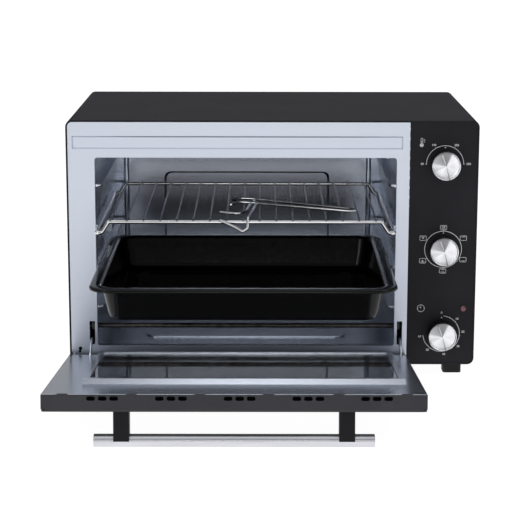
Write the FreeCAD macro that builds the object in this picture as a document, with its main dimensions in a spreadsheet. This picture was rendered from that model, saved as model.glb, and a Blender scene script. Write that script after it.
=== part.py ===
"""Rotisserie oven, door open, rack and tray drawn out.

Every piece is modelled in cabinet coordinates: X from the body's left side, Y backwards from the
front frame, Z up from the underside of the body. Door pieces are modelled with the door shut and are
then turned about the hinge to the open rest pose. At the end everything is moved so that the origin
is the centre of the whole object's footprint, on the surface that the feet stand on.
"""
import FreeCAD, Part
import math
import os
import Sketcher
from FreeCAD import Placement, Rotation, Vector

os.makedirs("parts", exist_ok=True)
doc = FreeCAD.newDocument("rotisserie_oven")

# ---------------------------------------------------------------- driving dimensions (mm, degrees)
DIMENSIONS = {
    "body_width": 550, "body_depth": 342, "body_height": 334, "casing_radius": 9, "skin": 0.6,
    "lip_width": 2.5, "foot_height": 17, "foot_radius": 12.5, "foot_inset_x": 27, "foot_inset_y": 32,
    "front_width": 458, "front_skin": 1, "panel_skin": 1.2,
    "opening_left": 38, "opening_right": 441, "opening_low": 26, "opening_high": 284,
    "return_depth": 8, "cavity_left": 36, "cavity_right": 443, "cavity_floor": 22,
    "cavity_roof": 300, "cavity_start": 3, "cavity_depth": 378,
    "guide_width": 11, "guide_pitch": 55.8, "guide_height": 4,
    "dome_left": 24, "dome_right": 457, "dome_low": 12, "dome_high": 312, "dome_depth": 50,
    "spacer_depth": 6,
    "door_width": 457, "door_low": 3.9, "door_high": 327.1, "door_face": 22.5, "door_back": 1.5,
    "glass_thickness": 3, "pivot_y": -7.1, "pivot_z": 9.5, "barrel_radius": 5.6, "pin_radius": 2.5,
    "open_angle": 83.57, "arm_inner": 23, "arm_outer": 29, "arm_thickness": 2.5,
    "arm_left": 31, "arm_right": 448.2,
    "plug_left": 41.3, "plug_right": 437.5, "plug_low": 29, "plug_high": 256, "plug_height": 7,
    "plug_slope": 1.2,
    "ring_width": 9, "pane_recess": 1.3,
    "bar_radius": 7.9, "bar_length": 334, "bar_y": -58.8, "bar_z": 315.5,
    "post_offset": 133.8, "post_width": 18.8, "post_depth": 18,
    "knob_radius": 19.1, "knob_depth": 20, "knob_gap": 1.2, "knob_x": 505, "cap_depth": 3,
    "shaft_radius": 3, "temperature_z": 275.8, "function_z": 160.1, "timer_z": 43.2,
    "lamp_x": 534, "lamp_z": 78.1, "lamp_radius": 4.1,
    "heater_radius": 3.25, "lower_heater_z": 42, "upper_heater_z": 278,
    "rack_front": -57, "rack_back": 252, "rack_z": 207.5, "rack_side_z": 193.3, "rack_side": 44,
    "rail_radius": 2.5, "grid_radius": 1.3, "grid_first": 62.8, "grid_pitch": 21.72,
    "tray_left": 40.5, "tray_right": 434.5, "tray_front": -160, "tray_back": 209.5,
    "tray_z": 140, "tray_lip": 5, "tray_corner": 21, "tray_depth": 47,
    "tray_rim": 16, "tray_draft": 10, "tray_skin": 0.8, "tray_radius": 30,
    "tool_radius": 1.8, "spit_y": 190, "spit_z": 160, "socket_radius": 7,
}
GRID_WIRES = 17
GUIDE_LEVELS = 4
CONTROLS = ("temperature", "function", "timer")
SIDES = ("left", "right")
CLEAR = 0.01  # how far a cutting solid passes the face it opens

sheet = doc.addObject("Spreadsheet::Sheet", "dims")
for row, (alias, value) in enumerate(DIMENSIONS.items(), start=1):
    sheet.set(f"A{row}", alias)
    sheet.set(f"B{row}", str(value))
    sheet.setAlias(f"B{row}", alias)
doc.recompute()


def dim(alias):
    return float(getattr(sheet, alias))


def value(text):
    """The number that an expression over the sheet's aliases stands for."""
    probe.setExpression("Length", f"({bound(text)}) + 10000")
    probe.recompute()
    return float(probe.Length) - 10000


def bound(text):
    """The expression with each alias written as a cell of the sheet."""
    words = str(text).replace("(", " ( ").replace(")", " ) ").split()
    return " ".join(f"dims.{word}" if word in DIMENSIONS else word for word in words)


probe = doc.addObject("Part::Box", "probe")

# ---------------------------------------------------------------- small builders


def box(name, x, y, z):
    """A box from its low and high expression along each axis."""
    item = doc.addObject("Part::Box", name)
    for side, axis, (low, high) in zip(("Length", "Width", "Height"), "xyz", (x, y, z)):
        item.setExpression(side, bound(f"( {high} ) - ( {low} )"))
        item.setExpression(f".Placement.Base.{axis}", bound(low))
    return item


TURNS = {"x": Rotation(Vector(0, 1, 0), 90), "y": Rotation(Vector(1, 0, 0), -90), "z": Rotation()}


def cylinder(name, radius, along, span, centre):
    """A cylinder along an axis, over its span, with the other two coordinates in centre."""
    item = doc.addObject("Part::Cylinder", name)
    item.setExpression("Radius", bound(radius))
    item.setExpression("Height", bound(f"( {span[1]} ) - ( {span[0]} )"))
    item.Placement = Placement(Vector(), TURNS[along])
    others = iter(centre)
    for axis in "xyz":
        place = span[0] if axis == along else next(others)
        item.setExpression(f".Placement.Base.{axis}", bound(place))
    return item


def wedge(name, x, y, z, inset):
    """A box whose far Y face is smaller by inset on each side (larger where inset is negative)."""
    item = doc.addObject("Part::Wedge", name)
    for axis, (low, high) in zip("XYZ", (x, y, z)):
        item.setExpression(f"{axis}min", bound(low))
        item.setExpression(f"{axis}max", bound(high))
    for axis, (low, high) in zip("XZ", (x, z)):
        item.setExpression(f"{axis}2min", bound(f"( {low} ) + ( {inset} )"))
        item.setExpression(f"{axis}2max", bound(f"( {high} ) - ( {inset} )"))
    return item


def rounded(name, item, radius, chosen):
    """Rounds the edges that chosen accepts."""
    doc.recompute()
    round_off = doc.addObject("Part::Fillet", name)
    round_off.Base = item
    edges = [i for i, edge in enumerate(item.Shape.Edges, start=1) if chosen(edge)]
    round_off.Edges = [(i, radius, radius) for i in edges]
    return round_off


def along(axis):
    """Accepts the straight edges that run along an axis."""
    return lambda edge: abs(abs(edge.tangentAt(edge.FirstParameter).dot(axis)) - 1) < 1e-6


def fuse(name, *items):
    item = doc.addObject("Part::MultiFuse", name)
    item.Shapes = list(items)
    item.Refine = True
    return item


def cut(name, base, *tools):
    item = doc.addObject("Part::Cut", name)
    item.Base = base
    item.Tool = tools[0] if len(tools) == 1 else fuse(name + "_tools", *tools)
    return item


def group(name, *items):
    item = doc.addObject("Part::Compound", name)
    item.Links = list(items)
    return item


def outline_sketch(body, role, outline):
    """A closed outline on an origin plane, each corner held by a pair of expressions."""
    sketch = body.newObject("Sketcher::SketchObject", body.Name + "_outline")
    plane = next(f for f in body.Origin.OriginFeatures if f.Role == role)
    sketch.AttachmentSupport = [(plane, "")]
    sketch.MapMode = "FlatFace"
    corners = [Vector(value(first), value(second), 0) for first, second in outline]
    count = len(corners)
    for i, corner in enumerate(corners):
        sketch.addGeometry(Part.LineSegment(corner, corners[(i + 1) % count]), False)
    for i in range(count):
        sketch.addConstraint(Sketcher.Constraint("Coincident", i, 2, (i + 1) % count, 1))
    for i, (corner, place) in enumerate(zip(corners, outline)):
        for kind, size, text, axis in (("DistanceX", corner.x, place[0], -2),
                                       ("DistanceY", corner.y, place[1], -1)):
            if abs(size) < 1e-9:
                sketch.addConstraint(Sketcher.Constraint("PointOnObject", i, 1, axis))
            else:
                index = sketch.addConstraint(Sketcher.Constraint(kind, -1, 1, i, 1, size))
                sketch.setExpression(f"Constraints[{index}]", bound(text))
    return sketch


def turned_body(name, outline):
    """A body turned about its own Z axis from (radius, height) expression pairs."""
    body = doc.addObject("PartDesign::Body", name + "_body")
    turn_feature = body.newObject("PartDesign::Revolution", name + "_turn")
    turn_feature.Profile = outline_sketch(body, "XZ_Plane", outline)
    turn_feature.ReferenceAxis = (turn_feature.Profile[0], ["V_Axis"])
    turn_feature.Angle = 360
    body.Tip = turn_feature
    return body


def bent_wire(corners, radius, bend, closed=False):
    """A round wire along straight runs, with an arc of the bend radius at each corner."""
    path = []
    count = len(corners)
    cuts = []
    for i, corner in enumerate(corners):
        if not closed and i in (0, count - 1):
            cuts.append((corner, corner))
            continue
        before = (corners[i - 1] - corner).normalize()
        after = (corners[(i + 1) % count] - corner).normalize()
        half = before.getAngle(after) / 2
        reach = bend / math.tan(half)
        start, end = corner + before * reach, corner + after * reach
        middle_way = (before + after).normalize()
        middle = corner + middle_way * (bend / math.sin(half) - bend)
        cuts.append((start, end, middle))
    for i in range(count if closed else count - 1):
        here, there = cuts[i], cuts[(i + 1) % count]
        path.append(Part.LineSegment(here[1], there[0]).toShape())
        if len(there) == 3:
            path.append(Part.Arc(there[0], there[2], there[1]).toShape())
    spine = Part.Wire(path)
    start = cuts[0][1]
    heading = cuts[1][0] - start
    section = Part.Wire(Part.Circle(start, heading, radius).toShape())
    tube = spine.makePipeShell([section], True, False)
    if tube.Volume < 0:
        tube.reverse()
    expected = math.pi * radius ** 2 * spine.Length
    if abs(tube.Volume / expected - 1) > 0.02:
        raise ValueError(f"wire volume {tube.Volume:.1f}, expected {expected:.1f}")
    return tube


def own_shape(name, shape):
    item = doc.addObject("Part::Feature", name)
    item.Shape = shape
    return item


NODES = {}


def node(label, item, place=None):
    """Keeps a finished piece under its own label, with the placement that takes it to rest."""
    if item.TypeId in ("Part::Box", "Part::Cylinder"):
        item = group(label + "_piece", item)
    item.Label = label
    if place is not None:
        item.Placement = place.multiply(item.Placement)
    NODES[label] = item
    return item


def mirrored(x, side):
    """An X expression on the door's left half, or its mirror image on the right half."""
    return x if side == "left" else f"door_width - ( {x} )"


def span(low, high, side):
    """A low and high X pair on the door's left half, or its mirror image."""
    ends = (mirrored(low, side), mirrored(high, side))
    return ends if side == "left" else ends[::-1]


pivot = Vector(0, dim("pivot_y"), dim("pivot_z"))
OPENED = Placement(Vector(), Rotation(Vector(1, 0, 0), dim("open_angle")), pivot)


def door_node(label, item):
    return node(label, item, OPENED.copy())


# ---------------------------------------------------------------- casing, panels and feet


def shell_outline(name, inset, y):
    """The casing's outline inset by a distance, as a solid with four rounded edges."""
    outer = box(name + "_box", (inset, f"body_width - {inset}"), y, (inset, f"body_height - {inset}"))
    return rounded(name, outer, dim("casing_radius") - value(inset), along(Vector(0, 1, 0)))


def outer_casing():
    wrap = cut("casing_wrap", shell_outline("casing_outer", "0", (0, "body_depth")),
               shell_outline("casing_inner", "skin", (-1, "body_depth + 1")),
               box("casing_underside", (14, "body_width - 14"), (-1, "body_depth + 1"), (-1, 1)))
    lip = cut("casing_lip", shell_outline("lip_outer", "0", ("0 - skin", 0)),
              shell_outline("lip_inner", "lip_width", (-2, 1)))
    slots = []
    for row in range(9):
        for column, back in enumerate((60, 120, 180, 240)):
            low = 70 + 22 * row
            slots.append(box(f"casing_slot_{row}_{column}", (-1, "body_width + 1"), (back, back + 42),
                             (low, low + 4)))
    node("outer_casing", cut("casing", fuse("casing_whole", wrap, lip), *slots))


def base_plate():
    low, high = "casing_radius + 3.4", "body_width - casing_radius - 3.4"
    parts = [box("base_sheet", (low, high), (1.4, "body_depth - 0.2"), ("skin", "2 * skin"))]
    for name, x in (("left", (low, f"{low} + skin")), ("right", (f"{high} - skin", high))):
        parts.append(box(f"base_flange_{name}", x, (1.4, "body_depth - 0.2"), ("skin", 14)))
    for side in SIDES:
        parts.append(box(f"spring_tab_{side}", (f"arm_{side} - 3", f"arm_{side} + 3"), (112, 113.6),
                         ("skin", 19)))
    slots = [box(f"base_slot_{i}", (470, 530), (90 + 16 * i, 94 + 16 * i), (-1, 2)) for i in range(10)]
    holes = [cylinder(f"stud_hole_{i}", 2.2, "z", (-1, 3), place) for i, place in enumerate(foot_places())]
    node("base_plate", cut("base", fuse("base_whole", *parts), *slots, *holes))


def foot_places():
    xs = ("foot_inset_x", "body_width - foot_inset_x")
    ys = ("foot_inset_y", "body_depth - foot_inset_y")
    return [(x, y) for y in ys for x in xs]


def feet():
    names = ("foot_front_left", "foot_front_right", "foot_rear_left", "foot_rear_right")
    for name, (x, y) in zip(names, foot_places()):
        block = box(f"{name}_block", (f"{x} - foot_radius", f"{x} + foot_radius"),
                    (f"{y} - foot_radius", f"{y} + foot_radius"), ("0 - foot_height", "skin"))
        block = rounded(f"{name}_round", block, 4, along(Vector(0, 0, 1)))
        node(name, fuse(f"{name}_whole", block, cylinder(f"{name}_stud", 2, "z", ("0", 5), (x, y))))


def front_frame():
    plate = box("front_sheet", ("skin + 0.1", "front_width"), (0, "front_skin"),
                ("skin + 0.1", "body_height - skin - 0.1"))
    long_edge = along(Vector(0, 1, 0))
    plate = rounded("front_plate", plate, dim("casing_radius") - dim("skin") - 0.1,
                    lambda edge: long_edge(edge) and edge.CenterOfMass.x < 100)
    back = box("emboss_back", (7, 450), (0, 2.8), (294.4, 314))
    pocket = wedge("emboss_pocket", (8.2, 448.8), ("0 - 0.01", 1.9), (295.4, 312.8), 1.8)
    collar = cut("return_collar",
                 box("collar_outer", ("opening_left - skin", "opening_right + skin"),
                     (0, "front_skin + return_depth"), ("opening_low - skin", "opening_high + skin")),
                 box("collar_gap", ("opening_left", "opening_right"), (-2, "return_depth + 3"),
                     ("opening_low", "opening_high")))
    whole = fuse("front_whole", plate, back, collar)
    opening = rounded("front_opening", box("opening_box", ("opening_left", "opening_right"), (-5, 40),
                                           ("opening_low", "opening_high")), 4, long_edge)
    step = rounded("lip_step", box("lip_step_box", ("opening_left", "opening_right"), (-1, 0.4),
                                   ("opening_high - 10", "opening_high + 4.6")), 4, long_edge)
    keyhole = fuse("keyhole", cylinder("keyhole_head", 2.4, "y", (-1, 2), (14.4, 21.8)),
                   cylinder("keyhole_tail", 1.9, "y", (-1, 2), (13.6, 17.8)))
    holes = [opening, pocket, step, keyhole]
    for side in SIDES:
        holes.append(box(f"arm_slot_{side}", (f"arm_{side} - 3.6", f"arm_{side} + 3.6"),
                         (-1, 3), (27.5, 60)))
        holes.append(box(f"ear_slot_{side}", span("3.4", "7.1", side), (-1, 3), (3.5, 15.5)))
    dents = [cylinder(f"lip_dent_{i}", 2.4, "y", (-1, 0.6), (x, "opening_high + 5"))
             for i, x in enumerate((78, 237, 398))]
    node("front_frame", cut("front", whole, *holes, *dents))


def control_panel():
    plate = box("panel_sheet", ("front_width + 0.3", "body_width - skin - 0.1"), (0, "panel_skin"),
                ("skin + 0.1", "body_height - skin - 0.1"))
    long_edge = along(Vector(0, 1, 0))
    plate = rounded("panel_plate", plate, dim("casing_radius") - dim("skin") - 0.1,
                    lambda edge: long_edge(edge) and edge.CenterOfMass.x > 500)
    holes = [cylinder(f"{name}_hole", "shaft_radius + 0.6", "y", (-1, 3), ("knob_x", f"{name}_z"))
             for name in CONTROLS]
    holes.append(cylinder("lamp_hole", "lamp_radius - 0.6", "y", (-1, 3), ("lamp_x", "lamp_z")))
    node("control_panel", cut("panel", plate, *holes))


def rear_cover():
    sheet_part = box("rear_sheet", ("skin + 0.1", "body_width - skin - 0.1"),
                     ("body_depth", "body_depth + skin"), ("skin + 0.1", "body_height - skin - 0.1"))
    sheet_part = rounded("rear_plate", sheet_part, dim("casing_radius") - dim("skin") - 0.1,
                         along(Vector(0, 1, 0)))
    dome_x, dome_z = ("dome_left", "dome_right"), ("dome_low", "dome_high")
    outer = wedge("dome_outer", dome_x, ("body_depth", "body_depth + dome_depth"), dome_z, 8)
    inner = wedge("dome_inner", ("dome_left + skin", "dome_right - skin"),
                  ("body_depth - 0.01", "body_depth + dome_depth - skin"),
                  ("dome_low + skin", "dome_high - skin"), 8)
    tools = [inner, cylinder("gland_hole", 6, "y", ("body_depth - 5", "body_depth + 5"), (505, 60))]
    for i in range(12):
        low = 110 + 15 * i
        tools.append(box(f"rear_slot_{i}", (476, 534), ("body_depth - 1", "body_depth + 3"), (low, low + 4)))
    for i in range(14):
        low = 70 + 25 * i
        tools.append(box(f"dome_slot_{i}", (low, low + 4), ("body_depth + dome_depth - 5",
                                                         "body_depth + dome_depth + 5"), (255, 285)))
    tools += [cylinder(f"rear_screw_hole_{i}", 1.7, "y", ("body_depth - 1", "body_depth + 3"), place)
              for i, place in enumerate(REAR_SCREWS)]
    spacers = [cylinder(f"spacer_{i}", 9, "y", ("body_depth + dome_depth - skin",
                                               "body_depth + dome_depth + spacer_depth"), (x, 60))
               for i, x in enumerate((90, 391))]
    whole = fuse("rear_whole", cut("rear_open", fuse("rear_solid", sheet_part, outer), *tools), *spacers)
    node("rear_cover", whole)


REAR_SCREWS = ((12, 20), (12, 314), (250, 323), (538, 20), (538, 314), (466, 20))


def screws():
    pieces = []
    for i, place in enumerate(REAR_SCREWS):
        head = cylinder(f"rear_head_{i}", 3.5, "y", ("body_depth + skin", "body_depth + skin + 2"), place)
        shank = cylinder(f"rear_shank_{i}", 1.6, "y", ("body_depth - 5", "body_depth + skin + 1"), place)
        pieces.append(fuse(f"rear_screw_{i}", head, shank))
    node("rear_screws", group("rear_screw_group", *pieces))


# ---------------------------------------------------------------- cavity

WALL_TOP = "cavity_roof"
HEATERS = (("lower", "lower_heater_z", (50, 255)), ("upper", "upper_heater_z", (110, 265)))


def guide_height(level):
    """Height of a guide's top; the second carries the tray and the third the rack."""
    return f"rack_side_z - rail_radius - 0.3 + ( {level} - 2 ) * guide_pitch"


def cavity_side(side):
    wall = "cavity_left - skin" if side == "left" else "cavity_right"
    parts = [box(f"wall_{side}", (wall, f"{wall} + skin"), ("cavity_start", "cavity_depth"),
                 ("cavity_floor", WALL_TOP))]
    for level in range(GUIDE_LEVELS):
        top = guide_height(level)
        if side == "left":
            x = ("cavity_left - 0.1", "cavity_left + guide_width")
        else:
            x = ("cavity_right - guide_width", "cavity_right + 0.1")
        ledge = box(f"guide_{side}_{level}", x, (12, 366), (f"{top} - guide_height", top))
        inner = value(x[1] if side == "left" else x[0])
        upright = along(Vector(0, 0, 1))
        parts.append(rounded(f"guide_round_{side}_{level}", ledge, 9,
                             lambda edge: upright(edge) and abs(edge.CenterOfMass.x - inner) < 0.1))
    holes = []
    for name, height, places in HEATERS:
        holes += [cylinder(f"rod_hole_{side}_{name}_{i}", "heater_radius + 0.3", "x",
                           (f"{wall} - 5", f"{wall} + 5"), (y, height)) for i, y in enumerate(places)]
    if side == "right":
        holes.append(cylinder("socket_hole", "socket_radius + 0.6", "x", (f"{wall} - 5", f"{wall} + 5"),
                              ("spit_y", "spit_z")))
    node(f"cavity_{side}_wall", cut(f"side_{side}", fuse(f"side_whole_{side}", *parts), *holes))


def slanted(edge):
    """Edge that runs mainly from front to back, as the corners of a pressed pan do."""
    return abs(edge.tangentAt(edge.FirstParameter).y) > 0.3


def cavity_shell():
    for side in SIDES:
        cavity_side(side)
    across = ("cavity_left - skin", "cavity_right + skin")
    upright = along(Vector(0, 0, 1))
    raised = rounded("floor_emboss", box("floor_emboss_box", (100, 379), (62, 330),
                                         ("cavity_floor - 0.1", "cavity_floor + 1.6")), 16, upright)
    node("cavity_floor", fuse("floor", box("floor_sheet", across, ("cavity_start", "cavity_depth"),
                                           ("cavity_floor - skin", "cavity_floor")), raised))
    node("cavity_roof", box("roof_sheet", across, ("cavity_start", "cavity_depth"),
                            (WALL_TOP, f"{WALL_TOP} + skin")))
    back = box("back_sheet", across, ("cavity_depth", "cavity_depth + skin"),
               ("cavity_floor - skin", f"{WALL_TOP} + skin"))
    pan_slab = wedge("back_pan_wedge", (109, 367), ("cavity_depth", "cavity_depth + 6 + skin"), (46, 207), 3)
    gap_slab = wedge("back_gap_wedge", (110, 366), ("cavity_depth - 0.01", "cavity_depth + 6"), (47, 206), 3)
    pan = rounded("back_pan", pan_slab, 12, slanted)
    pan_gap = rounded("back_pan_gap", gap_slab, 11, slanted)
    beads = [cylinder(f"back_bead_{i}", 4, "z", ("cavity_floor", WALL_TOP), (x, "cavity_depth"))
             for i, x in enumerate((51.5, 426.5))]
    node("cavity_rear_wall", cut("back", fuse("back_whole", back, pan, *beads), pan_gap))
    node("heat_shield", cut("shield", box("shield_sheet", (455, 455.8), (3, "body_depth - 2"), (2, 300)),
                            cylinder("shield_hole", "socket_radius + 0.6", "x", (450, 460),
                                     ("spit_y", "spit_z"))))


def heaters():
    ceramics = []
    for name, height, places in HEATERS:
        rods = []
        for i, y in enumerate(places):
            rods.append(cylinder(f"{name}_rod_{i}", "heater_radius", "x", (22, 453.5), (y, height)))
            for side, x in (("left", (26, "cavity_left - skin")), ("right", ("cavity_right + skin", 452))):
                sleeve = cylinder(f"{name}_sleeve_{side}_{i}", 6, "x", x, (y, height))
                bore = cylinder(f"{name}_bore_{side}_{i}", "heater_radius", "x", (20, 460), (y, height))
                ceramics.append(cut(f"{name}_ceramic_{side}_{i}", sleeve, bore))
        node(f"{name}_heaters", group(f"{name}_rods", *rods))
    node("heater_insulators", group("ceramics", *ceramics))


# ---------------------------------------------------------------- controls and rotisserie drive


def controls():
    bodies = {"temperature": ("thermostat", 17, 14), "function": ("function_switch", 20, 20),
              "timer": ("timer_clockwork", 24, 21)}
    shaft_top = "0 - knob_gap - knob_depth + cap_depth + 1"
    for name, (label, half_width, half_height) in bodies.items():
        height = f"{name}_z"
        block = box(f"{label}_block", (f"knob_x - {half_width}", f"knob_x + {half_width}"), (7, 38),
                    (f"{height} - {half_height}", f"{height} + {half_height}"))
        bush = cylinder(f"{label}_bush", 5.5, "y", ("panel_skin", 8), ("knob_x", height))
        bore = cylinder(f"{label}_bore", "shaft_radius + 0.05", "y", (0, 16), ("knob_x", height))
        node(label, cut(f"{label}_cut", fuse(f"{label}_whole", block, bush), bore))
        shaft = cylinder(f"{name}_shaft_rod", "shaft_radius", "y", (shaft_top, 15), ("knob_x", height))
        node(f"{name}_shaft", shaft)
        knob(name, height)


def knob(name, height):
    """A dark knob with a thin metal cap; its own axis points out of the panel."""
    rear, front = "knob_gap", "knob_gap + knob_depth - cap_depth"
    outline = (("shaft_radius", rear), ("knob_radius", rear), ("knob_radius - 0.6", front),
               ("0", front), ("0", f"{front} - 1"), ("shaft_radius", f"{front} - 1"))
    face = Placement(Vector(dim("knob_x"), 0, value(height)), Rotation(Vector(1, 0, 0), 90))
    node(f"{name}_knob", turned_body(f"{name}_knob", outline), face)
    cap = (("0", front), ("knob_radius - 0.2", front), ("knob_radius", f"{front} + 0.6"),
           ("knob_radius", f"{front} + cap_depth - 0.9"), ("knob_radius - 0.9", f"{front} + cap_depth"),
           ("knob_radius - 2.2", f"{front} + cap_depth"), ("knob_radius - 2.8", f"{front} + cap_depth - 0.6"),
           ("0", f"{front} + cap_depth - 0.6"))
    node(f"{name}_cap", turned_body(f"{name}_cap", cap), face)


def lamp():
    outline = (("0", "0 - 5"), ("lamp_radius - 0.6", "0 - 5"), ("lamp_radius - 0.6", "0"),
               ("lamp_radius", "0"), ("lamp_radius", "1"), ("lamp_radius - 1", "2.2"), ("0", "2.8"))
    face = Placement(Vector(dim("lamp_x"), 0, dim("lamp_z")), Rotation(Vector(1, 0, 0), 90))
    node("indicator_lens", turned_body("indicator_lens", outline), face)
    node("lamp_holder", cylinder("lamp_holder_tube", 6, "y", (5, 22), ("lamp_x", "lamp_z")))


def sensor():
    bulb = cylinder("bulb_tube", 2, "y", (150, 230), ("cavity_right - 3.5", 262))
    stem = cylinder("bulb_stem", 1.2, "x", ("cavity_right - 3.5", "cavity_right"), (156, 262))
    node("sensor_bulb", fuse("bulb", bulb, stem))


def spit_drive():
    motor = cylinder("motor_can", 24, "x", (468, 492), ("spit_y", "spit_z"))
    flange = box("motor_flange", (455.8, 468), ("spit_y - 30", "spit_y + 30"),
                 ("spit_z - 14", "spit_z + 14"))
    bore = cylinder("motor_bore", 4.05, "x", (455, 484), ("spit_y", "spit_z"))
    relief = cylinder("motor_relief", "socket_radius + 0.6", "x", (455, 462), ("spit_y", "spit_z"))
    node("spit_motor", cut("motor", fuse("motor_whole", motor, flange), bore, relief))
    tube = cylinder("socket_tube", "socket_radius", "x", (438, 461), ("spit_y", "spit_z"))
    stub = cylinder("socket_stub", 4, "x", (460, 482), ("spit_y", "spit_z"))
    half = 3.3
    square = box("socket_square", (437, 452), (f"spit_y - {half}", f"spit_y + {half}"),
                 (f"spit_z - {half}", f"spit_z + {half}"))
    node("drive_socket", cut("socket", fuse("socket_whole", tube, stub), square))
    plate = box("support_plate", ("cavity_left", "cavity_left + 1.5"), ("spit_y - 16", "spit_y + 16"),
                ("spit_z - 18", "spit_z + 12"))
    shelf = box("support_shelf", ("cavity_left", "cavity_left + 9"), ("spit_y - 16", "spit_y + 16"),
                ("spit_z - 10", "spit_z + 8"))
    notch = box("support_notch", ("cavity_left - 1", "cavity_left + 20"), ("spit_y - 4", "spit_y + 4"),
                ("spit_z - 4", "spit_z + 20"))
    node("spit_support", cut("support", fuse("support_whole", plate, shelf), notch))


def electrics():
    node("terminal_block", box("terminals", (488, 528), (300, 322), (22, 36)))
    outline = (("0", "0 - 14"), ("6", "0 - 14"), ("6", "0.8"), ("10", "0.8"), ("8", "8"), ("5", "14"), ("0", "14"))
    place = Placement(Vector(505, dim("body_depth"), 60), Rotation(Vector(1, 0, 0), -90))
    gland = turned_body("cord_gland", outline)
    node("cord_gland", gland, place)


# ---------------------------------------------------------------- door


def door_frame():
    """Folded steel frame: a channel on three sides, and a bottom rail with a round hinge barrel."""
    front, back = "glass_thickness - door_face", "0 - door_back - skin"
    slab = box("door_slab", (0, "door_width"), (front, back), ("pivot_z", "door_high"))
    toe = box("door_toe", (0, "door_width"), (front, "pivot_y"), ("door_low", "pivot_z + 1"))
    barrel = cylinder("door_barrel", "barrel_radius", "x", (0, "door_width"), ("pivot_y", "pivot_z"))
    corner = box("door_corner", (-1, "door_width + 1"), ("pivot_y", 5), (0, "pivot_z"))
    tabs = [box(f"clinch_{i}", (x - 6.5, x + 6.5), ("0 - door_back - 2", "0 - door_back + 0.8"),
                ("door_high - 0.9", "door_high")) for i, x in enumerate((25.5, 107, 188, 269, 352.2, 433))]
    whole = fuse("door_solid", cut("door_square", fuse("door_slabs", slab, toe), corner), barrel, *tabs)
    window = box("door_window", (40, 437), (-60, 5), (26, 290))
    gaps = [box("left_channel", (1.2, 38.8), (f"{front} + 1.2", 5), (26, 325.9)),
            box("right_channel", (438.2, "door_width - 1.2"), (f"{front} + 1.2", 5), (26, 325.9)),
            box("top_channel", (1.2, "door_width - 1.2"), (f"{front} + 1.2", 5), (291.2, 325.9))]
    slots = []
    for bank in range(5):
        for i in range(3):
            centre = 72.8 + 81.1 * bank + 13.6 * (i - 1)
            slot = box(f"vent_{bank}_{i}", (centre - 5.2, centre + 5.2), (-9.2, -4), (322, 330))
            slots.append(rounded(f"vent_round_{bank}_{i}", slot, 2.5, along(Vector(0, 0, 1))))
    holes = [cylinder(f"frame_post_hole_{side}", 2.2, "y", (-25, 5), (post_x(side), "bar_z"))
             for side in SIDES]
    bores = [cylinder(f"pin_bore_{side}", "pin_radius", "x", span(0.5, 10, side), ("pivot_y", "pivot_z"))
             for side in SIDES]
    door_node("door_frame", cut("door_rails", whole, window, *gaps, *slots, *holes, *bores, *notches("frame")))


def notches(name):
    """Room in the door's lower corners for the hinge brackets' ears, over the whole swing."""
    return [box(f"{name}_notch_{side}", span("3.4", "7.1", side), ("pivot_y - 6.6", 0), (2, "pivot_z + 6.6"))
            for side in SIDES]


def post_x(side):
    sign = "-" if side == "left" else "+"
    return f"door_width / 2 {sign} post_offset"


def door_liner():
    """Pressed steel liner with a raised hollow frame that plugs the oven's opening."""
    low, high = "0 - door_back - skin", "plug_height - door_back"
    sheet_part = box("liner_sheet", (1, "door_width - 1"), (low, "0 - door_back"), (12.8, "door_high - 1"))
    band = wedge("band_outer", ("plug_left", "plug_right"), (low, high), ("plug_low", "plug_high"),
                 "plug_slope")
    recess = box("band_recess", ("plug_left + skin", "plug_right - skin"), ("0 - 10", low + " + 0.01"),
                 ("plug_low + skin", "plug_high - skin"))
    sides = ("plug_left + ring_width", "plug_right - ring_width")
    ends = ("plug_low + ring_width", "plug_high - ring_width")
    window = box("band_window", sides, ("0 - 3", f"{high} + 0.01"), ends)
    hollow = wedge("band_hollow", ("plug_left + skin", "plug_right - skin"), ("0 - 3", f"{high} - skin"),
                   ("plug_low + skin", "plug_high - skin"), "plug_slope")
    lining = box("band_lining", ("plug_left + ring_width - skin", "plug_right - ring_width + skin"),
                 ("0 - 3", high), ("plug_low + ring_width - skin", "plug_high - ring_width + skin"))
    whole = cut("liner_cut", fuse("liner_whole", sheet_part, band), window,
                cut("band_ring", hollow, lining), recess)
    slots = [box(f"liner_arm_slot_{side}", (f"arm_{side} - 2", f"arm_{side} + 2"), (-5, 2),
                 ("pivot_z + 15", "pivot_z + 30")) for side in SIDES]
    door_node("door_liner", cut("liner", whole, *slots, *notches("liner")))


def door_panes():
    y_out = ("0 - door_face", "glass_thickness - door_face")
    pane = box("outer_pane", (0, "door_width"), y_out, (4.5, "door_high"))
    pane = rounded("outer_pane_round", pane, 5, along(Vector(0, 1, 0)))
    holes = [cylinder(f"pane_hole_{side}", 2.2, "y", (-30, 0), (post_x(side), "bar_z")) for side in SIDES]
    door_node("door_outer_glass", cut("outer_glass", pane, *holes))
    top = "plug_height - door_back - pane_recess"
    inset = "ring_width + 0.2"
    pane = box("inner_pane", (f"plug_left + {inset}", f"plug_right - ( {inset} )"),
               (f"{top} - glass_thickness", top), (f"plug_low + {inset}", f"plug_high - ( {inset} )"))
    door_node("door_inner_glass", pane)
    rim = cut("retainer", box("retainer_outer", ("plug_left + ring_width", "plug_right - ring_width"),
                              ("0 - door_back - skin", f"{top} - glass_thickness"),
                              ("plug_low + ring_width", "plug_high - ring_width")),
              box("retainer_gap", ("plug_left + ring_width + 3", "plug_right - ring_width - 3"), (-9, 9),
                  ("plug_low + ring_width + 3", "plug_high - ring_width - 3")))
    door_node("glass_retainer", rim)


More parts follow.
